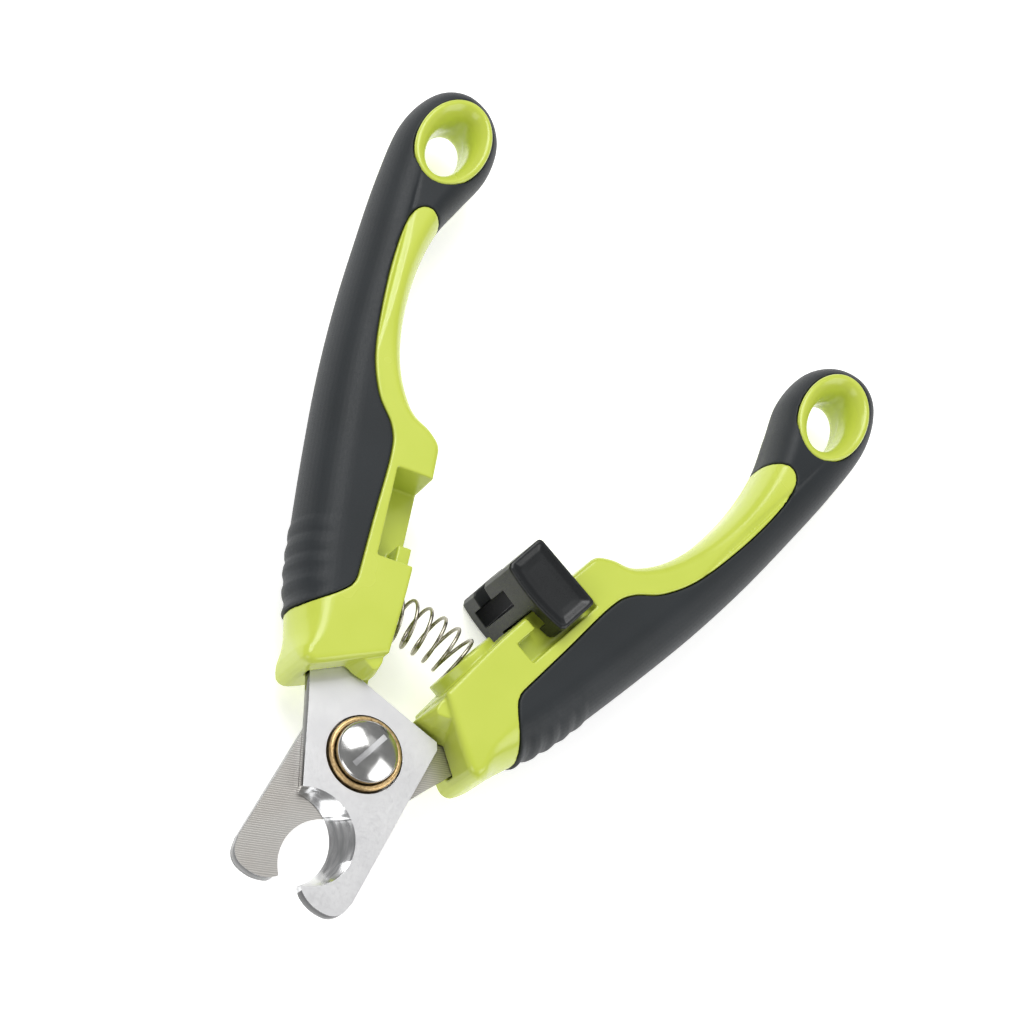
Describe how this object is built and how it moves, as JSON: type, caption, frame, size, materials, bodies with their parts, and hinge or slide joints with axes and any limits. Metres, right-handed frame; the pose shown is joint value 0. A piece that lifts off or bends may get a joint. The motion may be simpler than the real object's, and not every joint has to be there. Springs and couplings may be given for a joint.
{
  "type": "scissor nail clipper",
  "caption": "Scissor-action pet nail clipper: notched steel blades on a screw pivot, padded handles with eyelets, a return spring and a sliding lock.",
  "frame": {"origin": "middle of the bounding box in x and y, at the level of the lowest point (the back face of the lock slider)", "axes": "+Y runs from the jaws to the handles along the bisector of the open handles, +Z points out of the front face along the pivot screw's axis, and +X is towards the half that carries the lock"},
  "size_m": [0.0932, 0.1314, 0.0192],
  "materials": {
    "green_plastic": "glossy moulded lime green",
    "grip_rubber": "matte charcoal soft grip",
    "blade_steel": "satin ground stainless steel with polished edges",
    "brass_ring": "dull gold-coloured turned ring",
    "screw_chrome": "polished plated dome",
    "zinc_hardware": "plain plated steel",
    "spring_steel": "drawn spring wire",
    "slider_plastic": "satin black moulded plastic"
  },
  "bodies": {
    "right_half": {"right_core": "green_plastic", "right_grip": "grip_rubber", "right_eyelet": "green_plastic", "lower_blade": "blade_steel", "pivot_screw": "screw_chrome", "pivot_bushing": "brass_ring", "pivot_washer": "zinc_hardware", "pivot_nut": "zinc_hardware", "return_spring": "spring_steel"},
    "left_half": {"left_core": "green_plastic", "left_grip": "grip_rubber", "left_eyelet": "green_plastic", "upper_blade": "blade_steel"},
    "lock": {"lock_slider": "slider_plastic"}
  },
  "joints": [
    {"name": "handle_pivot", "type": "hinge", "parent": "right_half", "child": "left_half", "pos_m": [0, -0.04121, 0.0096], "axis": [0, 0, -1], "range_deg": [0, 30], "stiffness_Nm_per_rad": 0.3, "springref_deg": -5.73, "deforming": ["return_spring"]},
    {"name": "lock_slide", "type": "slide", "parent": "right_half", "child": "lock", "axis": [-0.289, -0.9573, 0], "range_m": [0, 0.005]}
  ]
}
